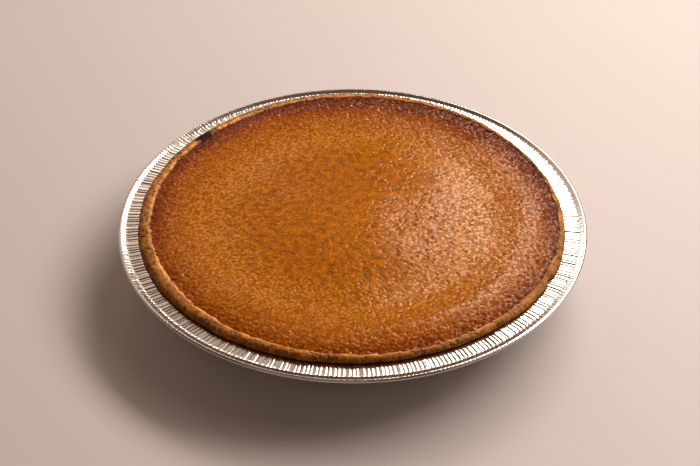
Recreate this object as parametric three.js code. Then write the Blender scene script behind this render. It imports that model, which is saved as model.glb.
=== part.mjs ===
// A baked pumpkin pie in its own foil pan. The foil's fine crimps are left to the surface finish.
// Units are millimetres and +Z is up. The origin is the centre of the pan's base, on the table.
// Three pieces are nested with a small gap between them: the pan, the pastry crust and the filling.
import * as THREE from "three";

// Sizes that drive everything else.
const rimRadius = 111; // outside of the pan's rolled edge
const rimHeight = 27.2; // top of the rolled edge above the table
const sheet = 0.4; // wall of the pan
const gap = 0.3; // between one piece and the next
const segments = 72; // steps round the axis

// The pan.
const rollRise = 0.9; // flattened rolled edge, from the shelf up to its crest
const rollOut = 1.2; // from the crest out to the rim
const rollIn = 2.3; // from the crest in to the shelf
const shelfHeight = rimHeight - rollRise; // middle of the sheet along the flat shelf inside the roll
const shelfInner = 99; // where the shelf turns down into the wall
const wallSlope = THREE.MathUtils.degToRad(60);
const baseCorner = 6; // bend between base and wall
const shelfCorner = 2; // bend between wall and shelf

// The crust.
const crustBase = 3.2; // pastry under the filling
const lipRadius = 101; // outside of the pastry edge
const lipTop = 30.6; // top of the pastry edge above the table
const lipUnder = 26.95; // where the pastry edge overhangs the shelf
const lipInner = 96.8; // where pastry meets filling
const lipRound = 1; // rounding of the edge's inner corner

// Unevenness round the baked edge: waves with a size, a number of lobes and a phase.
const outwardWaves = [[0.8, 1, -1.2], [0.4, 2, -2.37], [0.8, 3, -3.13], [0.36, 4, 2.31]];
const inwardWaves = [[0.95, 1, 1.75], [0.5, 2, -1.9], [0.15, 3, 2.56], [0.3, 4, 2.1]];
const upwardWaves = [[0.85, 1, -0.26], [0.3, 2, -0.35], [0.12, 3, 0.5], [0.12, 7, 1.2]];
const looseWidth = 12; // how far in from the edge the unevenness dies away

// Pleat where the pastry edge was pinched over itself.
const pleatAngle = -0.5;
const pleatWidth = 0.05;
const pleatDepth = 1;
const pleatDip = 0.5;

// The filling's top, from the axis outwards: a low dome, a shallow trough, a puffed ring and the edge.
const middleHeight = 28.95;
const troughRadius = 61;
const troughHeight = 28.45;
const ringRadius = 90;
const ringHeight = 30.1;
const edgeHeight = 29.5;

const smooth = THREE.MathUtils.smoothstep;

// Line from the axis to the shelf, a distance above the middle of the pan's sheet:
// base, corner, wall and the bend into the shelf.
function panLine(distance) {
  const run = Math.cos(wallSlope);
  const rise = Math.sin(wallSlope);
  const corners = baseCorner + shelfCorner;
  const baseHeight = sheet / 2;
  const wall = (shelfHeight - baseHeight - corners * (1 - run)) / rise;
  const baseRadius = shelfInner - corners * rise - wall * run;
  const cornerHeight = baseHeight + baseCorner;
  const bendHeight = shelfHeight - shelfCorner;
  const quarter = Math.PI / 2;
  const line = new THREE.Path();
  line.moveTo(0, baseHeight + distance);
  line.lineTo(baseRadius, baseHeight + distance);
  line.absarc(baseRadius, cornerHeight, baseCorner - distance, -quarter, wallSlope - quarter, false);
  line.absarc(shelfInner, bendHeight, shelfCorner + distance, quarter + wallSlope, quarter, true);
  return line.getPoints(1);
}

// Points along part of a circle, between two angles in radians.
function arc(x, y, radius, from, to, steps) {
  return Array.from({ length: steps + 1 }, (_, i) => {
    const angle = from + ((to - from) * i) / steps;
    return new THREE.Vector2(x + radius * Math.cos(angle), y + radius * Math.sin(angle));
  });
}

// A closed profile turned round the axis, which LatheGeometry does about +Y, then stood upright.
function turned(profile) {
  return new THREE.LatheGeometry(profile, segments).rotateX(Math.PI / 2);
}

// Height of the filling's top at a radius, before its unevenness.
function fillingTop(radius) {
  const middle = middleHeight - (middleHeight - troughHeight) * smooth(radius, 0, troughRadius);
  const puff = (ringHeight - troughHeight) * smooth(radius, troughRadius, ringRadius);
  const fall = (ringHeight - edgeHeight) * smooth(radius, ringRadius, lipInner);
  return middle + puff - fall;
}

// Sum of waves at an angle round the axis.
function wander(waves, angle) {
  return waves.reduce((sum, [size, lobes, phase]) => sum + size * Math.sin(lobes * angle + phase), 0);
}

// 1 in the middle of the pleat and 0 away from it.
function pleat(angle) {
  const turn = angle - pleatAngle;
  return Math.exp(-((Math.atan2(Math.sin(turn), Math.cos(turn)) / pleatWidth) ** 2));
}

// Moves what stands clear of the pan's shelf, so that the edge is as uneven as baked pastry.
function bake(geometry) {
  const position = geometry.getAttribute("position");
  for (let i = 0; i < position.count; i++) {
    const [x, y, height] = new THREE.Vector3().fromBufferAttribute(position, i);
    const radius = Math.hypot(x, y);
    const angle = Math.atan2(y, x);
    const nearEdge = smooth(radius, lipInner - looseWidth, lipInner);
    const free = nearEdge * smooth(height, lipUnder + gap, (lipUnder + lipTop) / 2);
    const outer = smooth(radius, lipInner + lipRound, lipRadius);
    const pinch = outer * pleat(angle);
    const push = THREE.MathUtils.lerp(wander(inwardWaves, angle), wander(outwardWaves, angle), outer);
    const shift = free * (push - pleatDepth * pinch);
    const lift = free * (wander(upwardWaves, angle) - pleatDip * pinch);
    const stretch = radius > 0 ? 1 + shift / radius : 1;
    position.setXYZ(i, x * stretch, y * stretch, height + lift);
  }
  return geometry;
}

function makePiece(name, geometry, color, roughness, metalness) {
  geometry.computeVertexNormals();
  const mesh = new THREE.Mesh(geometry, new THREE.MeshStandardMaterial({ color, roughness, metalness }));
  mesh.name = name;
  return mesh;
}

// Foil pan: base, sloping wall, flat shelf and an edge rolled over and pressed flat.
function makePan() {
  const mouth = Math.asin(sheet / 2 / rollRise); // where the sheet runs into the roll
  const crest = rimRadius - rollOut;
  const roll = arc(0, 0, 1, Math.PI + mouth, 3 * Math.PI - mouth, 8).map(
    ({ x, y }) => new THREE.Vector2(crest + (x > 0 ? rollOut : rollIn) * x, shelfHeight + rollRise * y)
  );
  const profile = [...panLine(-sheet / 2), ...roll, ...panLine(sheet / 2).reverse()];
  return makePiece("foil_pan", turned(profile), 0xc9c4bd, 0.3, 1);
}

// Pastry crust: a shell inside the pan, with an edge that stands above the shelf and overhangs it.
function makeCrust() {
  const nose = (lipTop - lipUnder) / 2; // rounding of the overhang, seen end on
  const outside = sheet / 2 + gap;
  const profile = [
    ...panLine(outside),
    ...arc(lipRadius - nose, lipUnder + nose, nose, -0.45 * Math.PI, Math.PI / 2, 4),
    new THREE.Vector2(lipInner + lipRound, lipTop),
    new THREE.Vector2(lipInner, edgeHeight),
    ...panLine(outside + crustBase).slice(0, -2).reverse(),
  ];
  return makePiece("pastry_crust", bake(turned(profile)), 0xb87333, 0.85, 0);
}

// Filling: the custard down to the crust, with its baked top.
function makeFilling() {
  const rings = [0.97, 0.925, 0.87, 0.8, 0.73, 0.65, 0.5, 0.3, 0];
  const profile = [
    ...panLine(sheet / 2 + gap + crustBase + gap).slice(0, -2),
    new THREE.Vector2(lipInner - 3 * gap, edgeHeight),
    ...rings.map((share) => new THREE.Vector2(share * lipInner, fillingTop(share * lipInner))),
  ];
  return makePiece("pumpkin_filling", bake(turned(profile)), 0xb5651d, 0.5, 0);
}

const pie = new THREE.Group();
pie.add(makePan(), makeCrust(), makeFilling());

export default pie;
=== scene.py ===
import itertools
import math
from functools import partial

import bpy
import numpy as np
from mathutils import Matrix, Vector


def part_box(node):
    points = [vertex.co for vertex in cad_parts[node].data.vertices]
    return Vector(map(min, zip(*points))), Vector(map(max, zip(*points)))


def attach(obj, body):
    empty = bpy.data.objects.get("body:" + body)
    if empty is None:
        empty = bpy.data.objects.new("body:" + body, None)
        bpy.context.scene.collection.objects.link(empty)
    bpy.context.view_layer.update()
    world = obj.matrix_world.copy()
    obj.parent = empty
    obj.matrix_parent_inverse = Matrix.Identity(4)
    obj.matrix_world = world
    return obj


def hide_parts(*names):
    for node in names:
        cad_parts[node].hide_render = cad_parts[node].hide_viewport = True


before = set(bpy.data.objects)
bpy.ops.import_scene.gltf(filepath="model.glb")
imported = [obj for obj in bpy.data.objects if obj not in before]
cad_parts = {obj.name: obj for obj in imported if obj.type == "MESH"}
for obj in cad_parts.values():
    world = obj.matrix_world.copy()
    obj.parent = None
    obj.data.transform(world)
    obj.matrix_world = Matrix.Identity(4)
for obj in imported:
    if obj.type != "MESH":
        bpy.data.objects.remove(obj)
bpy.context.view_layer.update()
mm = 0.001

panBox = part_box("foil_pan")
rimRadius = panBox[1].x / mm
rimHeight = panBox[1].z / mm
print("frame loaded")


# Helpers

def linear(hexColour):  # sRGB hex to linear red, green, blue and alpha
    parts = [int(hexColour[i:i + 2], 16) / 255 for i in (1, 3, 5)]
    return [c / 12.92 if c < 0.04045 else ((c + 0.055) / 1.055) ** 2.4 for c in parts] + [1]


def addNode(tree, kind, props=None, values=None, links=None):
    node = tree.nodes.new(kind)
    for name, value in (props or {}).items():
        setattr(node, name, value)
    for socket, value in (values or {}).items():
        node.inputs[socket].default_value = value
    for socket, source in (links or {}).items():
        tree.links.new(source, node.inputs[socket])
    return node


def perMm(size):  # texture scale that gives features of this many millimetres
    return 1000 / size


def smooth(x, low, high):
    t = np.clip((np.asarray(x, float) - low) / (high - low), 0, 1)
    return t * t * (3 - 2 * t)


def waves(table, angle):  # each row: size, number of lobes, phase
    return sum(size * np.sin(lobes * angle + phase) for size, lobes, phase in table)


def softNoise(points, size, seed):  # smooth random field, about -1 to 1, with lumps of this size
    rng = np.random.default_rng(seed)
    order = rng.permutation(256)
    slopes = rng.normal(size=(256, 3))
    slopes /= np.linalg.norm(slopes, axis=1)[:, None]
    cell = points / size + 512
    base = np.floor(cell).astype(int)
    part = cell - base
    fade = part ** 3 * (part * (part * 6 - 15) + 10)
    total = np.zeros(len(points))
    for corner in itertools.product((0, 1), repeat=3):
        at = (base + corner) & 255
        pick = order[(order[(order[at[:, 0]] + at[:, 1]) & 255] + at[:, 2]) & 255]
        weight = np.prod(np.where(np.array(corner) == 1, fade, 1 - fade), axis=1)
        total += weight * np.einsum("ij,ij->i", slopes[pick], part - np.array(corner))
    return total * 1.6


def makeMesh(name, points, faces, material, marks=None):  # points in mm, marks hold one value per point
    mesh = bpy.data.meshes.new(name)
    mesh.from_pydata((points * mm).tolist(), [], faces)
    for label, values in (marks or {}).items():
        mark = mesh.attributes.new(label, "FLOAT", "POINT")
        mark.data.foreach_set("value", np.asarray(values, np.float32))
    mesh.validate()
    mesh.polygons.foreach_set("use_smooth", [True] * len(mesh.polygons))
    mesh.materials.append(material)
    piece = bpy.data.objects.new(name, mesh)
    bpy.context.scene.collection.objects.link(piece)
    return piece


def placePiece(piece, node):
    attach(piece, "root")
    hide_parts(node)


def arcPoints(x, z, radius, start, end, steps):  # angles in degrees
    turn = np.radians(np.linspace(start, end, steps + 1))
    return np.stack([x + radius * np.cos(turn), z + radius * np.sin(turn)], 1)


# Materials

def newMaterial(name):
    material = bpy.data.materials.new(name)
    material.use_nodes = True
    tree = material.node_tree
    tree.nodes.clear()
    return material, partial(addNode, tree)


def fillRamp(ramp, stops):  # position and colour of each stop, in order
    elements = ramp.color_ramp.elements
    elements.remove(elements[-1])
    elements[0].position = stops[0][0]
    elements[0].color = linear(stops[0][1])
    for position, colour in stops[1:]:
        elements.new(position).color = linear(colour)


foilLook = {
    "colour": "#DEDAD4",
    "crumple": 4,  # mm, width of its soft creases
    "crumpleDepth": 0.12,  # mm
    "crumpleStrength": 0.25,
    "smoothest": 0.13,  # roughness
    "roughest": 0.2,
}


# Soft-temper aluminium foil, rolled and crimped: bright, with a faint crumple between the crimps
def makeFoil():
    material, add = newMaterial("crimpedAluminiumFoil")
    place = add("ShaderNodeTexCoord").outputs["Object"]
    crumple = add("ShaderNodeTexNoise",
                  values={"Scale": perMm(foilLook["crumple"]), "Detail": 3, "Roughness": 0.55},
                  links={"Vector": place}).outputs["Fac"]
    bump = add("ShaderNodeBump",
               values={"Strength": foilLook["crumpleStrength"], "Distance": foilLook["crumpleDepth"] * mm},
               links={"Height": crumple})
    dulling = add("ShaderNodeMapRange",
                  values={"To Min": foilLook["smoothest"], "To Max": foilLook["roughest"]},
                  links={"Value": crumple})
    shader = add("ShaderNodeBsdfPrincipled",
                 values={"Base Color": linear(foilLook["colour"]), "Metallic": 1},
                 links={"Roughness": dulling.outputs["Result"], "Normal": bump.outputs["Normal"]})
    add("ShaderNodeOutputMaterial", links={"Surface": shader.outputs["BSDF"]})
    return material


custardLook = {
    "radius": 100,  # mm, where the browning's stops reach 1
    "browning": [(0, "#C27008"), (0.4, "#B86806"), (0.58, "#BC6E0A"), (0.68, "#BE700C"), (0.78, "#B46409"),
                 (0.86, "#AC5A09"), (0.905, "#964608"), (0.94, "#7E340A"), (0.975, "#662308")],
    "centreLeft": 1.5,  # mm that the centre of the colour ramp lies to the left of the pan's axis
    "centreNear": 5,  # mm nearer than it, which makes the far side darker
    "wander": 12,  # mm that the browning strays
    "patch": 16,  # mm, size of the stray patches
    "grain": 0.8,  # mm
    "grainDepth": 0.2,  # mm
    "pimple": 1.5,  # mm, distance between the pimples of the skin
    # painted highlight on the tips of the pimples, and how strong it is
    "pimpleHighlight": "#D69A5C",
    "highlightShare": 0.42,
    # painted shade inside the bubble holes
    "hole": "#7A3806",
    "burnt": "#30120C",
    "shade": (0.6, 1.4),  # painted shade in the hollows and painted light on the tops
    "tone": (0.7, 1.3),  # brightness over the grain
    "gloss": (0.62, 0.1),  # on a pimple and between pimples
    "sheen": "#FFDDA8",
}


# Baked pumpkin custard: satin skin with pimples and bubble holes, darker and redder near the edge; painted
# highlights on the pimples, painted shade in hollows and holes
def makeCustard():
    look = custardLook
    material, add = newMaterial("bakedPumpkinCustard")
    place = add("ShaderNodeTexCoord").outputs["Object"]
    shift = (look["centreLeft"] * mm, look["centreNear"] * mm, 0)
    flat = add("ShaderNodeVectorMath", {"operation": "MULTIPLY_ADD"}, {1: (1, 1, 0), 2: shift}, {0: place})
    radius = add("ShaderNodeVectorMath", {"operation": "LENGTH"}, links={0: flat.outputs["Vector"]})
    patches = add("ShaderNodeTexNoise",
                  values={"Scale": perMm(look["patch"]), "Detail": 4, "Roughness": 0.6},
                  links={"Vector": place}).outputs["Fac"]
    wander = add("ShaderNodeMath", {"operation": "MULTIPLY_ADD"},
                 {1: look["wander"] * mm, 2: -look["wander"] / 2 * mm}, {0: patches})
    wandered = add("ShaderNodeMath", {"operation": "ADD"},
                   links={0: radius.outputs["Value"], 1: wander.outputs["Value"]})
    share = add("ShaderNodeMath", {"operation": "DIVIDE"}, {1: look["radius"] * mm},
                {0: wandered.outputs["Value"]})
    browning = add("ShaderNodeValToRGB", links={"Fac": share.outputs["Value"]})
    fillRamp(browning, look["browning"])

    # Brightness: painted shade in the hollows and painted light on the tops of the relief, grain, and a
    # painted highlight on each pimple's tip
    grain = add("ShaderNodeTexNoise", values={"Scale": perMm(look["grain"]), "Detail": 2, "Roughness": 0.6},
                links={"Vector": place}).outputs["Fac"]
    pimples = add("ShaderNodeTexVoronoi", values={"Scale": perMm(look["pimple"])},
                  links={"Vector": place}).outputs["Distance"]
    # painted shade in the hollows and painted light on the tops of the relief
    relief = add("ShaderNodeAttribute", {"attribute_name": "relief"}).outputs["Fac"]
    darkest, brightest = look["shade"]
    shade = add("ShaderNodeMapRange", values={"From Min": -1, "To Min": darkest, "To Max": brightest},
                links={"Value": relief})
    darkest, brightest = look["tone"]
    tone = add("ShaderNodeMapRange",
               values={"From Min": 0.3, "From Max": 0.7, "To Min": darkest, "To Max": brightest},
               links={"Value": grain})
    rough = add("ShaderNodeAttribute", {"attribute_name": "rough"}).outputs["Fac"]
    pimpled = add("ShaderNodeAttribute", {"attribute_name": "pimpled"}).outputs["Fac"]
    # painted light and shade on the pimples: lighter in their middles, darker between them
    reach = add("ShaderNodeMapRange", values={"To Min": 1.2, "To Max": 1.42}, links={"Value": pimpled})
    bright = add("ShaderNodeMapRange", values={"From Min": 0.05, "From Max": 0.6, "To Max": 0.8},
                 links={"Value": pimples, "To Min": reach.outputs["Result"]})
    both = add("ShaderNodeMath", {"operation": "MULTIPLY"},
               links={0: shade.outputs["Result"], 1: tone.outputs["Result"]})
    speckled = add("ShaderNodeMath", {"operation": "MULTIPLY"},
                   links={0: both.outputs["Value"], 1: bright.outputs["Result"]})
    toneAndShade = add("ShaderNodeVectorMath", {"operation": "SCALE"},
                links={0: browning.outputs["Color"], "Scale": speckled.outputs["Value"]})
    # painted highlight: a pale tip on each pimple
    tipHighlight = add("ShaderNodeMapRange",
               values={"From Min": 0.1, "From Max": 0.5, "To Min": look["highlightShare"], "To Max": 0},
               links={"Value": pimples})
    pale = add("ShaderNodeMath", {"operation": "MULTIPLY"}, links={0: tipHighlight.outputs["Result"], 1: pimpled})
    highlighted = add("ShaderNodeMix", {"data_type": "RGBA"}, {7: linear(look["pimpleHighlight"])},
                 {0: pale.outputs["Value"], 6: toneAndShade.outputs["Vector"]})

    # Painted shade in the bubble holes, and the burnt spot
    hole = add("ShaderNodeAttribute", {"attribute_name": "hole"}).outputs["Fac"]
    holeShaded = add("ShaderNodeMix", {"data_type": "RGBA"}, {7: linear(look["hole"])},
                {0: hole, 6: highlighted.outputs[2]})
    scorch = add("ShaderNodeAttribute", {"attribute_name": "scorch"}).outputs["Fac"]
    burnt = add("ShaderNodeMix", {"data_type": "RGBA"}, {7: linear(look["burnt"])},
                {0: scorch, 6: holeShaded.outputs[2]})

    depth = add("ShaderNodeMapRange", values={"To Min": 0.05, "To Max": 0.8}, links={"Value": rough})
    bump = add("ShaderNodeBump", values={"Distance": look["grainDepth"] * mm},
               links={"Height": grain, "Strength": depth.outputs["Result"]})
    sheen = add("ShaderNodeMapRange", values={"To Min": 0.12, "To Max": 0.17}, links={"Value": patches})
    glossiest, dullest = look["gloss"]
    gloss = add("ShaderNodeMapRange",
                values={"From Min": 0.1, "From Max": 0.6, "To Min": glossiest, "To Max": dullest},
                links={"Value": pimples})
    shader = add("ShaderNodeBsdfPrincipled", values={"IOR": 1.42, "Specular Tint": linear(look["sheen"])},
                 links={"Specular IOR Level": gloss.outputs["Result"],
                        "Base Color": burnt.outputs[2], "Roughness": sheen.outputs["Result"],
                        "Normal": bump.outputs["Normal"]})
    add("ShaderNodeOutputMaterial", links={"Surface": shader.outputs["BSDF"]})
    return material


pastryLook = {
    "browning": [(0, "#8E5A18"), (0.25, "#A66A22"), (0.45, "#B4742C"), (0.6, "#D8964E"), (0.8, "#D8985A"),
                 (0.9, "#A4561F"), (1, "#6E2C10")],  # from the underside of the edge to the filling
    "patch": 4.5,  # mm, browner and paler patches
    "meal": 0.9,  # mm, grain of the crumb
    "mealDepth": 0.2,  # mm
    "burnt": "#3A1A10",
    "shade": (0.45, 1.75),  # painted shade in the cracks and painted light on the lumps
    "tone": (0.62, 1.42),  # brightness over the patches
}


# Shortcrust pastry: matt and mealy, cracked, golden brown and darker where it met the filling; painted
# shade in its cracks and painted light on its lumps
def makePastry():
    look = pastryLook
    material, add = newMaterial("brownedShortcrust")
    place = add("ShaderNodeTexCoord").outputs["Object"]
    patches = add("ShaderNodeTexNoise",
                  values={"Scale": perMm(look["patch"]), "Detail": 5, "Roughness": 0.7},
                  links={"Vector": place})
    across = add("ShaderNodeAttribute", {"attribute_name": "across"}).outputs["Fac"]
    browning = add("ShaderNodeValToRGB", links={"Fac": across})
    fillRamp(browning, look["browning"])
    relief = add("ShaderNodeAttribute", {"attribute_name": "relief"}).outputs["Fac"]
    # painted shade in the cracks and painted light on the lumps, from the relief
    darkest, brightest = look["shade"]
    shade = add("ShaderNodeMapRange", values={"From Min": -1, "To Min": darkest, "To Max": brightest},
                links={"Value": relief})
    darkest, brightest = look["tone"]
    tone = add("ShaderNodeMapRange",
               values={"From Min": 0.3, "From Max": 0.7, "To Min": darkest, "To Max": brightest},
               links={"Value": patches.outputs["Fac"]})
    both = add("ShaderNodeMath", {"operation": "MULTIPLY"},
               links={0: shade.outputs["Result"], 1: tone.outputs["Result"]})
    toneAndShade = add("ShaderNodeVectorMath", {"operation": "SCALE"},
                links={0: browning.outputs["Color"], "Scale": both.outputs["Value"]})
    scorch = add("ShaderNodeAttribute", {"attribute_name": "scorch"}).outputs["Fac"]
    burnt = add("ShaderNodeMix", {"data_type": "RGBA"}, {7: linear(look["burnt"])},
                {0: scorch, 6: toneAndShade.outputs["Vector"]})
    meal = add("ShaderNodeTexNoise", values={"Scale": perMm(look["meal"]), "Detail": 3, "Roughness": 0.7},
               links={"Vector": place})
    bump = add("ShaderNodeBump", values={"Strength": 0.7, "Distance": look["mealDepth"] * mm},
               links={"Height": meal.outputs["Fac"]})
    shine = add("ShaderNodeMapRange", values={"To Min": 0.4, "To Max": 0.08}, links={"Value": scorch})
    shader = add("ShaderNodeBsdfPrincipled", values={"Roughness": 0.62, "IOR": 1.45},
                 links={"Base Color": burnt.outputs[2], "Normal": bump.outputs["Normal"],
                        "Specular IOR Level": shine.outputs["Result"]})
    add("ShaderNodeOutputMaterial", links={"Surface": shader.outputs["BSDF"]})
    return material


def makeTable():  # pale stone table, honed: hardly any shine
    material, add = newMaterial("paleStone")
    shader = add("ShaderNodeBsdfPrincipled", values={"Base Color": linear("#DAD3D0"), "Roughness": 0.55})
    add("ShaderNodeOutputMaterial", links={"Surface": shader.outputs["BSDF"]})
    return material


# Foil pan: a closed profile, turned and crimped by Geometry Nodes

pan = {
    "sheet": 0.16,  # mm, wall
    "rollHeight": 0.9,  # mm that the rim stands above the shelf
    "rollUp": 0.8,  # mm, visible roll above the shelf
    "rollDown": 0.75,  # mm, below it
    "rollIn": 2.5,  # mm from its crest to its inner foot
    "rollOut": 0.95,  # mm from its crest to the rim
    "rollTurn": [(-0.99, -0.15), (-0.85, -0.5), (-0.5, -0.85), (0, -1), (0.5, -0.87), (0.87, -0.5), (1, 0),
                 (0.92, 0.4), (0.7, 0.72), (0.35, 0.94), (0, 1), (-0.12, 0.96), (-0.3, 0.8), (-0.55, 0.53),
                 (-0.8, 0.29), (-0.97, 0.13)],  # shares of the roll's size, from its inner foot round
    "baseRing": 0.93,  # share of the base's radius, a ring of points
    "shelfMiddle": 102.5,  # mm, a ring of points half way over the shelf
    "rollInset": 0.06,  # mm that the roll stays inside the rim, so that its crimps do not pass it
    "shelfInner": 99,  # mm, where the shelf bends into the wall
    "wallSlope": 60,  # degrees
    "baseCorner": 6,  # mm
    "shelfCorner": 2,  # mm
    "crimps": 340,  # round the pan
    "stepsPerCrimp": 7,
    "crimpDepth": 0.36,  # mm, the narrow creases
    "archHeight": 0.075,  # mm, the swell between creases
    "crimpJitter": 0.33,  # share of a crimp's width
    "crimpSharpness": 12,  # higher is narrower
    "weakestCrimp": 0.15,  # share of the depth
    "crimpsFrom": 1.5,  # mm above the table, where they start on the wall
    "crimpsFull": 8,  # mm, where they have their full depth
    "rollCrimp": 0.14,  # share of the depth that reaches the roll
    "seed": 7,
}
shelfHeight = rimHeight - pan["rollHeight"]


def panLine(lift):  # points from the axis to the shelf, a distance above the sheet's middle
    slope = math.radians(pan["wallSlope"])
    run, rise = math.cos(slope), math.sin(slope)
    corners = pan["baseCorner"] + pan["shelfCorner"]
    low = pan["sheet"] / 2
    wall = (shelfHeight - low - corners * (1 - run)) / rise
    baseRadius = pan["shelfInner"] - corners * rise - wall * run
    base = np.array([[0, low + lift], [pan["baseRing"] * baseRadius, low + lift]])
    corner = arcPoints(baseRadius, low + pan["baseCorner"], pan["baseCorner"] - lift,
                       -90, pan["wallSlope"] - 90, 3)
    bend = arcPoints(pan["shelfInner"], shelfHeight - pan["shelfCorner"], pan["shelfCorner"] + lift,
                     90 + pan["wallSlope"], 90, 2)
    foot = rimRadius - pan["rollInset"] - pan["rollOut"] - pan["rollIn"]
    side = (corner[-1:] + bend[:1]) / 2
    level = np.array([[r, shelfHeight + lift] for r in (pan["shelfMiddle"], foot - 1.2, foot - 0.25)])
    return np.concatenate([base, corner, side, bend, level])


def panProfile():  # rows of radius, height, lean outwards, lean upwards and share of the crimps
    half = pan["sheet"] / 2
    crest = rimRadius - pan["rollInset"] - pan["rollOut"]
    turn = np.array(pan["rollTurn"])
    across = np.where(turn[:, 0] > 0, pan["rollOut"], pan["rollIn"]) * turn[:, 0]
    height = np.where(turn[:, 1] > 0, pan["rollUp"], pan["rollDown"]) * turn[:, 1]
    out = np.column_stack([across, height])
    out /= np.linalg.norm(out, axis=1)[:, None]
    crimped = np.full(len(turn), pan["rollCrimp"])
    roll = np.column_stack([crest + across, shelfHeight + height, out, crimped])
    middle = panLine(0)
    along = np.gradient(middle, axis=0)
    lean = np.stack([-along[:, 1], along[:, 0]], 1) / np.linalg.norm(along, axis=1)[:, None]
    share = smooth(middle[:, 1], pan["crimpsFrom"], pan["crimpsFull"])
    below = np.column_stack([panLine(-half), lean, share])
    above = np.column_stack([panLine(half), lean, share])
    return np.concatenate([below, roll, above[::-1]])


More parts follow.
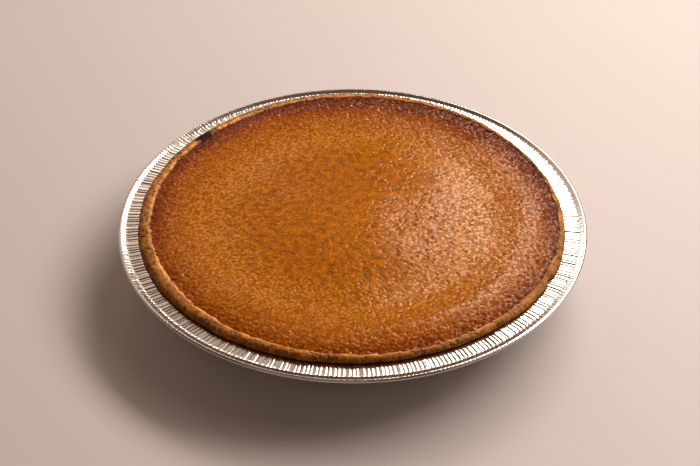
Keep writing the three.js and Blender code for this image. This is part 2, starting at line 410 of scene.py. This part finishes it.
def crimpTree(material):
    tree = bpy.data.node_groups.new("turnAndCrimp", "GeometryNodeTree")
    face = tree.interface
    face.new_socket("Profile", in_out="INPUT", socket_type="NodeSocketGeometry")
    for name, kind in (("Rows", "Int"), ("Crimps", "Int"), ("Steps per Crimp", "Int"), ("Seed", "Int"),
                       ("Crimp Depth", "Float"), ("Arch Height", "Float"), ("Crimp Jitter", "Float")):
        face.new_socket(name, in_out="INPUT", socket_type="NodeSocket" + kind)
    face.new_socket("Pan", in_out="OUTPUT", socket_type="NodeSocketGeometry")
    add = partial(addNode, tree)
    given = add("NodeGroupInput").outputs
    columns = add("ShaderNodeMath", {"operation": "MULTIPLY_ADD"}, {2: 1},
                  {0: given["Crimps"], 1: given["Steps per Crimp"]}).outputs[0]
    grid = add("GeometryNodeMeshGrid", values={"Size X": 1, "Size Y": 1},
               links={"Vertices X": columns, "Vertices Y": given["Rows"]}).outputs["Mesh"]
    at = add("ShaderNodeSeparateXYZ", links={0: add("GeometryNodeInputPosition").outputs[0]}).outputs
    turn = add("ShaderNodeMath", {"operation": "ADD"}, {1: 0.5}, {0: at["X"]}).outputs[0]  # 0 to 1 round it
    lastRow = add("ShaderNodeMath", {"operation": "SUBTRACT"}, {1: 1}, {0: given["Rows"]}).outputs[0]
    up = add("ShaderNodeMath", {"operation": "ADD"}, {1: 0.5}, {0: at["Y"]}).outputs[0]
    row = add("ShaderNodeMath", {"operation": "MULTIPLY"}, links={0: up, 1: lastRow}).outputs[0]
    row = add("ShaderNodeMath", {"operation": "ROUND"}, links={0: row}).outputs[0]

    def rowValue(source):
        picked = add("GeometryNodeSampleIndex", {"data_type": "FLOAT_VECTOR", "domain": "POINT"},
                     links={"Geometry": given["Profile"], "Value": source, "Index": row})
        return add("ShaderNodeSeparateXYZ", links={0: picked.outputs["Value"]}).outputs

    spot = rowValue(add("GeometryNodeInputPosition").outputs[0])
    lean = rowValue(add("GeometryNodeInputNamedAttribute", {"data_type": "FLOAT_VECTOR"},
                        {"Name": "lean"}).outputs["Attribute"])  # outwards, share of crimps, upwards
    count = add("ShaderNodeMath", {"operation": "MULTIPLY"}, links={0: turn, 1: given["Crimps"]}).outputs[0]
    nudged = add("ShaderNodeMath", {"operation": "ADD"}, {1: 1e-4}, {0: count}).outputs[0]
    whole = add("ShaderNodeMath", {"operation": "FLOOR"}, links={0: nudged}).outputs[0]
    number = add("ShaderNodeMath", {"operation": "MODULO"}, links={0: whole, 1: given["Crimps"]}).outputs[0]
    within = add("ShaderNodeMath", {"operation": "SUBTRACT"}, links={0: count, 1: whole}).outputs[0]
    shift = add("FunctionNodeRandomValue", {"data_type": "FLOAT"}, {2: -1, 3: 1},
                {"ID": number, "Seed": given["Seed"]}).outputs[1]
    shift = add("ShaderNodeMath", {"operation": "MULTIPLY"},
                links={0: shift, 1: given["Crimp Jitter"]}).outputs[0]
    middle = add("ShaderNodeMath", {"operation": "SUBTRACT"}, {1: 0.5}, {0: within}).outputs[0]
    offCentre = add("ShaderNodeMath", {"operation": "SUBTRACT"}, links={0: middle, 1: shift}).outputs[0]
    phase = add("ShaderNodeMath", {"operation": "MULTIPLY"}, {1: math.pi}, {0: offCentre}).outputs[0]
    cosine = add("ShaderNodeMath", {"operation": "COSINE"}, links={0: phase}).outputs[0]
    groove = add("ShaderNodeMath", {"operation": "POWER"}, {1: pan["crimpSharpness"]},
                 {0: cosine}).outputs[0]
    halfTurn = add("ShaderNodeMath", {"operation": "MULTIPLY"}, {1: math.pi}, {0: within}).outputs[0]
    fading = add("ShaderNodeMath", {"operation": "SINE"}, links={0: halfTurn}).outputs[0]
    groove = add("ShaderNodeMath", {"operation": "MULTIPLY"}, links={0: groove, 1: fading}).outputs[0]
    otherSeed = add("ShaderNodeMath", {"operation": "ADD"}, {1: 11}, {0: given["Seed"]}).outputs[0]
    strength = add("FunctionNodeRandomValue", {"data_type": "FLOAT"}, {2: pan["weakestCrimp"], 3: 1},
                   {"ID": number, "Seed": otherSeed}).outputs[1]
    depth = add("ShaderNodeMath", {"operation": "MULTIPLY"}, links={0: groove, 1: strength}).outputs[0]
    depth = add("ShaderNodeMath", {"operation": "MULTIPLY"},
                links={0: depth, 1: given["Crimp Depth"]}).outputs[0]
    twice = add("ShaderNodeMath", {"operation": "MULTIPLY"}, {1: 2}, {0: phase}).outputs[0]
    swing = add("ShaderNodeMath", {"operation": "COSINE"}, links={0: twice}).outputs[0]
    swing = add("ShaderNodeMath", {"operation": "MULTIPLY_ADD"}, {1: 0.5, 2: 0.5}, {0: swing}).outputs[0]
    arch = add("ShaderNodeMath", {"operation": "MULTIPLY"}, links={0: swing, 1: fading}).outputs[0]
    arch = add("ShaderNodeMath", {"operation": "MULTIPLY"},
               links={0: arch, 1: given["Arch Height"]}).outputs[0]
    depth = add("ShaderNodeMath", {"operation": "ADD"}, links={0: depth, 1: arch}).outputs[0]
    depth = add("ShaderNodeMath", {"operation": "MULTIPLY"}, links={0: depth, 1: lean["Y"]}).outputs[0]
    outwards = add("ShaderNodeMath", {"operation": "MULTIPLY"}, links={0: depth, 1: lean["X"]}).outputs[0]
    upwards = add("ShaderNodeMath", {"operation": "MULTIPLY"}, links={0: depth, 1: lean["Z"]}).outputs[0]
    radius = add("ShaderNodeMath", {"operation": "SUBTRACT"}, links={0: spot["X"], 1: outwards}).outputs[0]
    height = add("ShaderNodeMath", {"operation": "SUBTRACT"}, links={0: spot["Z"], 1: upwards}).outputs[0]
    angle = add("ShaderNodeMath", {"operation": "MULTIPLY"}, {1: 2 * math.pi}, {0: turn}).outputs[0]
    straight = add("ShaderNodeCombineXYZ", links={"X": radius, "Z": height}).outputs[0]
    turned = add("ShaderNodeVectorRotate", {"rotation_type": "Z_AXIS"},
                 links={"Vector": straight, "Angle": angle}).outputs[0]
    shaped = add("GeometryNodeSetPosition", links={"Geometry": grid, "Position": turned}).outputs[0]
    closed = add("GeometryNodeMergeByDistance", values={"Distance": 0.005 * mm},
                 links={"Geometry": shaped}).outputs[0]
    softened = add("GeometryNodeSetShadeSmooth", links={"Geometry": closed}).outputs[0]
    real = add("GeometryNodeRealizeInstances", links={"Geometry": softened}).outputs[0]
    painted = add("GeometryNodeSetMaterial", values={"Material": material},
                  links={"Geometry": real}).outputs[0]
    add("NodeGroupOutput", links={"Pan": painted})
    return tree


def setInput(modifier, name, value):
    for item in modifier.node_group.interface.items_tree:
        if item.name == name and item.in_out == "INPUT":
            modifier[item.identifier] = value


def makePan(material):
    profile = panProfile()
    mesh = bpy.data.meshes.new("foilPanProfile")
    points = np.column_stack([profile[:, 0], np.zeros(len(profile)), profile[:, 1]]) * mm
    mesh.from_pydata(points.tolist(), [(i, i + 1) for i in range(len(points) - 1)], [])
    lean = mesh.attributes.new("lean", "FLOAT_VECTOR", "POINT")
    lean.data.foreach_set("vector", profile[:, [2, 4, 3]].astype(np.float32).ravel())
    source = bpy.data.objects.new("foilPanProfile", mesh)
    bpy.context.scene.collection.objects.link(source)
    modifier = source.modifiers.new("turnAndCrimp", "NODES")
    modifier.node_group = crimpTree(material)
    for name, value in (("Rows", len(profile)), ("Crimps", pan["crimps"]),
                        ("Steps per Crimp", pan["stepsPerCrimp"]), ("Seed", pan["seed"]),
                        ("Crimp Depth", pan["crimpDepth"] * mm), ("Arch Height", pan["archHeight"] * mm),
                        ("Crimp Jitter", pan["crimpJitter"])):
        setInput(modifier, name, value)
    shaped = source.evaluated_get(bpy.context.evaluated_depsgraph_get())
    final = bpy.data.meshes.new_from_object(shaped)
    final.name = "foil_tin"
    bpy.data.objects.remove(source)
    piece = bpy.data.objects.new("foil_tin", final)
    bpy.context.scene.collection.objects.link(piece)
    return piece


# The edge of the pie, shared by the crust and the filling

edge = {
    "outer": 100.8,  # mm, outside of the pastry
    "inner": 96.8,  # mm, where pastry meets filling
    "top": 30.3,  # mm above the table
    "meet": 29.5,  # mm, height where pastry meets filling
    "outwardWaves": [(0.8, 1, -1.2), (0.4, 2, -2.37), (0.8, 3, -3.13), (0.36, 4, 2.31), (0.12, 17, 1),
                     (0.1, 31, 0)],  # mm, lobes round the pie, phase
    "inwardWaves": [(0.95, 1, 1.75), (0.5, 2, -1.9), (0.15, 3, 2.56), (0.3, 4, 2.1), (0.15, 21, 2),
                    (0.1, 37, 1)],
    "upwardWaves": [(0.85, 1, -0.26), (0.3, 2, -0.35), (0.12, 3, 0.5), (0.12, 7, 1.2)],
    "scorchAngle": 141.5,  # degrees, the burnt spot
    "scorchRadius": 98.4,  # mm
    "scorchLength": 6.6,  # mm, half its size along the edge
    "scorchWidth": 4.5,  # mm, half its size across it
    "scorchRagged": 0.28,  # how uneven its outline is
    "scorchGrain": 2.2,  # mm, size of that unevenness
    "scorchSeed": 77,
}


def outerEdge(angle):
    return edge["outer"] + waves(edge["outwardWaves"], angle)


def innerEdge(angle):
    return edge["inner"] + waves(edge["inwardWaves"], angle)


def edgeLift(angle):
    return waves(edge["upwardWaves"], angle)


def scorchMark(x, y):  # 1 inside the burnt spot, 0 outside
    middle = math.radians(edge["scorchAngle"])
    along = -x * math.sin(middle) + y * math.cos(middle)
    across = x * math.cos(middle) + y * math.sin(middle) - edge["scorchRadius"]
    ragged = softNoise(np.column_stack([x, y, np.zeros_like(x)]), edge["scorchGrain"], edge["scorchSeed"])
    away = np.hypot(along / edge["scorchLength"], across / edge["scorchWidth"])
    away += edge["scorchRagged"] * ragged
    return 1 - smooth(away, 0.72, 1.12)


# Filling: rings of triangles over the top, then a plain wall and underside

filling = {
    "rings": 178,
    "middle": 28.95,  # mm, top of the low dome
    "trough": 28.42,  # mm
    "troughRadius": 66,  # mm
    "puff": 30.15,  # mm, top of the puffed ring
    "puffRadius": 90,  # mm
    "climb": 0.12,  # mm that the filling climbs the pastry
    "swell": 0.3,  # mm, broad unevenness
    "swellWidth": 34,  # mm
    "lumpHeight": 0.02,  # mm
    "lumpWidth": 4,  # mm
    "wrinkleDepth": 0.009,  # mm
    "wrinkleWidth": 1.15,  # mm
    "ridgeDepth": 0.32,  # mm, short ridges on the puffed ring and outside it
    "ridgeWidth": 1.35,  # mm
    "ridgeTurn": 55,  # mm, radius at which the ridges' pattern is laid out
    "wrinkledFrom": 50,  # mm, radius where the wrinkles start to deepen
    "wrinkledFully": 66,  # mm
    "pimpledFrom": 46,  # mm, radius where the painted highlights of the pimples start
    "pimpledFully": 62,  # mm
    "fewerFrom": 74,  # mm, radius where they start to fade
    "fewerFully": 86,  # mm
    "fewerShare": 0.75,  # how much of them fades
    "ridgedFrom": 84,  # mm, radius where the ridges start
    "ridgedFully": 92,  # mm
    "holes": 3400,
    "holeSmallest": 0.2,  # mm
    "holeWidest": 0.55,  # mm
    "holeDepth": 0.2,  # mm
    "walls": [(1.8, 1.5), (6.3, 3.9), (24.5, 13.9)],  # mm below the edge and in from it, inside the crust
    "seed": 21,
}


def discFaces(rings):  # triangles between a centre point and rings of 6, 12, 18 and so on
    faces = []
    for k in range(1, rings + 1):
        outer, inner = 1 + 3 * k * (k - 1), max(0, 1 + 3 * (k - 1) * (k - 2))
        i, s = np.meshgrid(np.arange(k), np.arange(6))
        a = outer + s * k + i
        b = outer + (s * k + i + 1) % (6 * k)
        c = inner + (s * (k - 1) + i) % max(1, 6 * (k - 1))
        faces.append(np.stack([a, b, c], -1).reshape(-1, 3))
        if k > 1:
            d = inner + (s * (k - 1) + i + 1) % (6 * (k - 1))
            faces.append(np.stack([b, d, c], -1)[:, :-1].reshape(-1, 3))
    return np.concatenate(faces)


def fillingShape(x, y):  # smooth height of the top
    radius, angle = np.hypot(x, y), np.arctan2(y, x)
    share = radius / innerEdge(angle) * edge["inner"]
    middle, trough, puffed = filling["middle"], filling["trough"], filling["puff"]
    dome = middle - (middle - trough) * smooth(share, 0, filling["troughRadius"])
    puff = (puffed - trough) * smooth(share, filling["troughRadius"] - 3, filling["puffRadius"])
    fall = (puffed - edge["meet"] + 0.3) * smooth(share, filling["puffRadius"], edge["inner"] + 1)
    climb = filling["climb"] * smooth(share, edge["inner"] - 1.6, edge["inner"] + 0.2)
    nearRim = smooth(share, 80, 96)
    flat = np.column_stack([x, y, np.zeros_like(x)])
    swell = filling["swell"] * softNoise(flat, filling["swellWidth"], filling["seed"]) * (1 - nearRim)
    return dome + puff - fall + climb + swell + edgeLift(angle) * nearRim


def fillingRelief(x, y):  # wrinkles and lumps, finer in the middle and stronger on the puffed ring
    radius, angle = np.hypot(x, y), np.arctan2(y, x)
    share = radius / innerEdge(angle) * edge["inner"]
    flat = np.column_stack([x, y, np.zeros_like(x)])
    ring = smooth(share, filling["wrinkledFrom"], 70)
    outer = smooth(share, filling["ridgedFrom"], filling["ridgedFully"])
    seed, width, turn = filling["seed"], filling["wrinkleWidth"], filling["ridgeTurn"]
    lumps = filling["lumpHeight"] * softNoise(flat, filling["lumpWidth"], seed + 1)
    fine = 0.7 * softNoise(flat, 2, seed + 2) + softNoise(flat, width, seed + 3)
    wound = np.column_stack([turn * np.cos(angle), turn * np.sin(angle), share])
    ridges = softNoise(wound, filling["ridgeWidth"], seed + 4) + 0.7 * softNoise(flat, width, seed + 5)
    wrinkle = filling["wrinkleDepth"] * (1 + 1.5 * ring)
    return lumps + wrinkle * fine + filling["ridgeDepth"] * outer * ridges


def holeField(x, y):  # small holes left by bubbles
    rng = np.random.default_rng(filling["seed"] + 9)
    radius = (edge["inner"] - 6) * np.sqrt(rng.random(filling["holes"]))
    angle = rng.uniform(0, 2 * math.pi, filling["holes"])
    width = rng.uniform(filling["holeSmallest"], filling["holeWidest"], filling["holes"])
    total = np.zeros_like(x)
    for r, a, w in zip(radius, angle, width):
        near = (np.abs(x - r * math.cos(a)) < 3 * w) & (np.abs(y - r * math.sin(a)) < 3 * w)
        away = (x[near] - r * math.cos(a)) ** 2 + (y[near] - r * math.sin(a)) ** 2
        total[near] = np.maximum(total[near], np.exp(-away / w ** 2) * min(1, w / 0.5))
    return total


def fillingMarks(x, y, relief, hole):  # what the custard's material reads at each point of the top
    radius = np.hypot(x, y)
    skin = smooth(radius, filling["wrinkledFrom"], filling["wrinkledFully"])
    ridged = smooth(radius, filling["ridgedFrom"], filling["ridgedFully"])
    highest = 0.02 + 0.02 * skin + 0.22 * ridged  # mm, usual relief here
    pimpled = smooth(radius, filling["pimpledFrom"], filling["pimpledFully"])
    fewer = filling["fewerShare"] * smooth(radius, filling["fewerFrom"], filling["fewerFully"])
    return {
        # drives the painted shade in the hollows and painted light on the tops
        "relief": np.clip(relief / highest, -1, 1),
        # the holes' depth, which also places their painted shade
        "hole": hole,
        "scorch": scorchMark(x, y),
        # where the pimples' painted light and highlights show
        "pimpled": pimpled * (1 - fewer),
        "rough": 0.2 * skin + 0.8 * smooth(radius, filling["ridgedFrom"], 91),
    }


def makeFilling(material):
    rings = filling["rings"]
    k = np.repeat(np.arange(1, rings + 1), 6 * np.arange(1, rings + 1))
    i = np.concatenate([np.arange(6 * n) for n in range(1, rings + 1)])
    angle = 2 * math.pi * i / (6 * k)
    radius = k / rings * (innerEdge(angle) + 0.25)
    x = np.append(0, radius * np.cos(angle))
    y = np.append(0, radius * np.sin(angle))
    relief, hole = fillingRelief(x, y), holeField(x, y)
    top = np.column_stack([x, y, fillingShape(x, y) + relief - filling["holeDepth"] * hole])
    count = 6 * rings
    rimAngle = 2 * math.pi * np.arange(count) / count
    lower = []
    for drop, inset in filling["walls"]:
        r = innerEdge(rimAngle) - inset
        z = np.full_like(r, edge["meet"] - drop)
        lower.append(np.column_stack([r * np.cos(rimAngle), r * np.sin(rimAngle), z]))
    floor = np.array([[0, 0, lower[-1][0, 2]]])
    points = np.concatenate([top, *lower, floor])
    starts = [len(top) - count + j * count for j in range(len(lower) + 1)]
    here = np.arange(count)
    after = (here + 1) % count
    walls = [np.column_stack([s + here, s + count + here, s + count + after, s + after])
             for s in starts[:-1]]
    cap = np.column_stack([starts[-1] + after, starts[-1] + here, np.full(count, len(points) - 1)])
    faces = discFaces(rings).tolist() + np.concatenate(walls).tolist() + cap.tolist()
    hidden = np.zeros(len(points) - len(top))
    marks = {name: np.append(values, hidden) for name, values in fillingMarks(x, y, relief, hole).items()}
    return makeMesh("baked_filling", points, faces, material, marks)


# Crust: one closed profile swept round, uneven and mealy where it shows

crust = {
    "columns": 1440,
    "shellOutside": [(0, 0.75), (60, 0.75), (79.5, 0.75), (84.5, 3.3), (95.2, 22.8), (98.5, 26.75)],  # mm
    "shellInside": [(84, 5), (79, 3.9), (60, 3.9), (0, 3.9)],  # mm, radius and height
    "lipInside": [(2, 1.6), (6.3, 3.6)],  # mm below the edge and in from it
    "under": 26.75,  # mm, underside of the overhang
    "nose": 0.5,  # mm, rounding below the outer edge
    "shoulder": 0.66,  # share of the edge's width that rounds down outwards
    "roundRows": 20,  # round the outside of the edge
    "topRows": 16,  # from there in to the filling
    "tuck": 0.5,  # mm that the edge's inner foot dips below the filling
    "lumpDepth": 0.3,  # mm
    "lumpWidth": 4.5,  # mm
    "smallLumpWidth": 2.2,  # mm
    "mealDepth": 0.15,  # mm
    "mealWidth": 1.1,  # mm
    "crackDepth": 0.5,  # mm
    "crackSpacing": 2.6,  # mm
    "crackWidth": 0.1,  # share of that spacing
    "crackPatch": 7,  # mm, size of the cracked patches
    "pleatAngle": -0.5,  # radians
    "pleatWidth": 0.03,
    "pleatDepth": 0.9,  # mm
    "pleatDip": 0.4,  # mm
    "seed": 5,
}


def crustRows(angle):  # radius and height along each row, which rows show, and how far in these are
    inner = innerEdge(angle)
    turn = angle - crust["pleatAngle"]
    pinch = np.exp(-(np.arctan2(np.sin(turn), np.cos(turn)) / crust["pleatWidth"]) ** 2)
    outer = outerEdge(angle) - crust["pleatDepth"] * pinch
    top = edge["top"] + edgeLift(angle) - crust["pleatDip"] * pinch
    meet = edge["meet"] + edgeLift(angle)
    shoulder = crust["shoulder"] * (outer - inner)
    rows = []
    for r, z in crust["shellOutside"]:
        rows.append(np.stack([np.minimum(r, outer - 0.6), np.full_like(angle, z)], 1))
    firstShown = len(rows)
    across = []
    middle = crust["under"] + crust["nose"]
    for a in np.radians(np.linspace(-95, 90, crust["roundRows"])):  # underside, nose and top
        reach = crust["nose"] if a < 0 else shoulder
        rise = crust["nose"] if a < 0 else top - middle
        height = np.full_like(angle, middle) + rise * math.sin(a)
        rows.append(np.stack([outer - reach + reach * math.cos(a), height], 1))
        across.append(0.3 * (a / math.pi + 0.5))
    for s in np.linspace(0, 1, crust["topRows"] + 1)[1:]:  # top of the edge, in and down to the filling
        r = (outer - shoulder) * (1 - s) + (inner - 0.6) * s
        rows.append(np.stack([r, top - (top - meet + crust["tuck"]) * s ** 3], 1))
        across.append(0.3 + 0.7 * s)
    shown = slice(firstShown, len(rows))
    for drop, inset in crust["lipInside"]:
        rows.append(np.stack([inner - inset, np.full_like(angle, edge["meet"] - drop)], 1))
    for r, z in crust["shellInside"]:
        rows.append(np.stack([np.full_like(angle, r), np.full_like(angle, z)], 1))
    return np.array(rows), shown, np.array(across)


def crustRelief(spots):  # mm that the pastry is raised, and -1 in its cracks to 1 on its lumps, which drives the painted shade and light
    seed = crust["seed"]
    lumps = softNoise(spots, crust["lumpWidth"], seed)
    lumps += 0.7 * softNoise(spots, crust["smallLumpWidth"], seed + 1)
    meal = softNoise(spots, crust["mealWidth"], seed + 2)
    line = np.exp(-(softNoise(spots, crust["crackSpacing"], seed + 3) / crust["crackWidth"]) ** 2)
    crack = line * smooth(softNoise(spots, crust["crackPatch"], seed + 4), -0.25, 0.2)
    raised = crust["lumpDepth"] * lumps + crust["mealDepth"] * meal - crust["crackDepth"] * crack
    raised *= smooth(spots[:, 2], crust["under"] - 0.1, crust["under"] + 1.2)
    return raised, np.clip(meal + 0.6 * lumps - crack, -1, 1)


def sweptFaces(rowCount, columns):  # four-sided faces between rows, and a fan to the axis at each end
    here = np.arange(columns)
    after = (here + 1) % columns
    faces = []
    for start in range(0, (rowCount - 1) * columns, columns):
        faces += np.column_stack([start + here, start + after, start + columns + after,
                                  start + columns + here]).tolist()
    first = rowCount * columns
    end = (rowCount - 1) * columns
    faces += np.column_stack([here, np.full(columns, first), after]).tolist()
    faces += np.column_stack([end + after, np.full(columns, first + 1), end + here]).tolist()
    return faces


def makeCrust(material):
    columns = crust["columns"]
    angle = 2 * math.pi * np.arange(columns) / columns
    profile, shown, across = crustRows(angle)
    cosine, sine = np.cos(angle), np.sin(angle)
    points = np.stack([profile[..., 0] * cosine, profile[..., 0] * sine, profile[..., 1]], -1)
    along = np.gradient(profile, axis=0)
    normal = np.stack([along[..., 1] * cosine, along[..., 1] * sine, -along[..., 0]], -1)
    normal /= np.maximum(np.linalg.norm(normal, axis=-1), 1e-9)[..., None]
    spots = points[shown].reshape(-1, 3)
    raised, relief = crustRelief(spots)
    spots = spots + normal[shown].reshape(-1, 3) * raised[:, None]
    points[shown] = spots.reshape(-1, columns, 3)
    marks = {name: np.zeros(points.shape[:2]) for name in ("relief", "across", "scorch")}
    marks["relief"][shown] = relief.reshape(-1, columns)
    marks["across"][shown] = across[:, None]
    marks["scorch"][shown] = scorchMark(spots[:, 0], spots[:, 1]).reshape(-1, columns)
    body = points[1:-1].reshape(-1, 3)  # the first and last rows are single points on the axis
    ends = np.array([[0, 0, points[0, 0, 2]], [0, 0, points[-1, 0, 2]]])
    marks = {name: np.append(values[1:-1].ravel(), [0, 0]) for name, values in marks.items()}
    faces = sweptFaces(len(points) - 2, columns)
    return makeMesh("browned_crust", np.concatenate([body, ends]), faces, material, marks)


foil = makeFoil()
custard = makeCustard()
pastry = makePastry()
stone = makeTable()
placePiece(makePan(foil), "foil_pan")
print("pan made")
placePiece(makeCrust(pastry), "pastry_crust")
print("crust made")
placePiece(makeFilling(custard), "pumpkin_filling")
print("filling made")


# Floor, lights and camera

studio = {
    "floorSize": 4000,  # mm, half its width
    "floorHeight": -0.3,  # mm
    "target": (0, 0, 0.02),  # m, where the lights point
    "worldColour": "#CFA88C",
    "worldStrength": 0.14,
}

lights = {  # degrees to the right of straight back, degrees up, m away, m wide and high, W
    "keyLight": {"azimuth": 46.5, "elevation": 43, "distance": 1.1, "size": (1.33, 0.32), "power": 14.4,
                 "colour": "#FFF0E6"},
    "sideLight": {"azimuth": 76, "elevation": 50, "distance": 1.5, "size": (1, 1), "power": 3.4,
                  "colour": "#FFF0E6"},
    "wallLight": {"azimuth": -35, "elevation": 33, "distance": 2.2, "size": (2.4, 1.6), "power": 6.8,
                  "colour": "#FFDCC6"},
    "backLight": {"azimuth": -10.3, "elevation": 29.5, "distance": 1.6, "size": (0.28, 0.32), "power": 0.55,
                  "colour": "#FFF0E6"},
    "frontLight": {"azimuth": 200, "elevation": 50, "distance": 2, "size": (1.6, 1.6), "power": 1.5,
                   "colour": "#FFF0E4"},
}


def areaLight(name, azimuth, elevation, distance, size, power, colour):
    light = bpy.data.lights.new(name, "AREA")
    light.shape = "RECTANGLE"
    light.energy = power
    light.size, light.size_y = size
    light.color = linear(colour)[:3]
    a, e = math.radians(azimuth), math.radians(elevation)
    away = Vector((math.sin(a) * math.cos(e), math.cos(a) * math.cos(e), math.sin(e)))
    lamp = bpy.data.objects.new(name, light)
    lamp.location = Vector(studio["target"]) + away * distance
    lamp.rotation_euler = away.to_track_quat("Z", "Y").to_euler()
    bpy.context.scene.collection.objects.link(lamp)


def makeStudio():
    size, height = studio["floorSize"], studio["floorHeight"]
    corners = np.array([[-size, -size, height], [size, -size, height], [size, size, height],
                        [-size, size, height]], float)
    floor = makeMesh("floor", corners, [(0, 1, 2, 3)], stone)
    for name, settings in lights.items():
        areaLight(name, **settings)
    world = bpy.data.worlds.new("room")
    world.use_nodes = True
    background = world.node_tree.nodes["Background"]
    background.inputs["Color"].default_value = linear(studio["worldColour"])
    background.inputs["Strength"].default_value = studio["worldStrength"]
    bpy.context.scene.world = world
    bpy.context.scene.view_settings.view_transform = "Standard"


view = {
    "elevation": 39.04,  # degrees above the table
    "distance": 0.61,  # m from the point looked at
    "lens": 66.77,  # mm
    "sensor": 36,  # mm
    "aimRight": -1.27,  # mm from the pan's axis
    "aimBack": -12.91,
}


def makeCamera():
    data = bpy.data.cameras.new("camera")
    data.lens = view["lens"]
    data.sensor_width = view["sensor"]
    camera = bpy.data.objects.new("camera", data)
    aim = Vector((view["aimRight"], view["aimBack"], shelfHeight)) * mm
    tilt = math.radians(view["elevation"])
    back = Vector((0, -math.cos(tilt), math.sin(tilt)))
    camera.location = aim + back * view["distance"]
    camera.rotation_euler = back.to_track_quat("Z", "Y").to_euler()
    bpy.context.scene.collection.objects.link(camera)
    bpy.context.scene.camera = camera


makeStudio()
makeCamera()
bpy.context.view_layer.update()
meshes = [piece for piece in bpy.context.scene.objects if piece.type == "MESH"]
print("pieces:", {piece.name: len(piece.data.polygons) for piece in meshes})
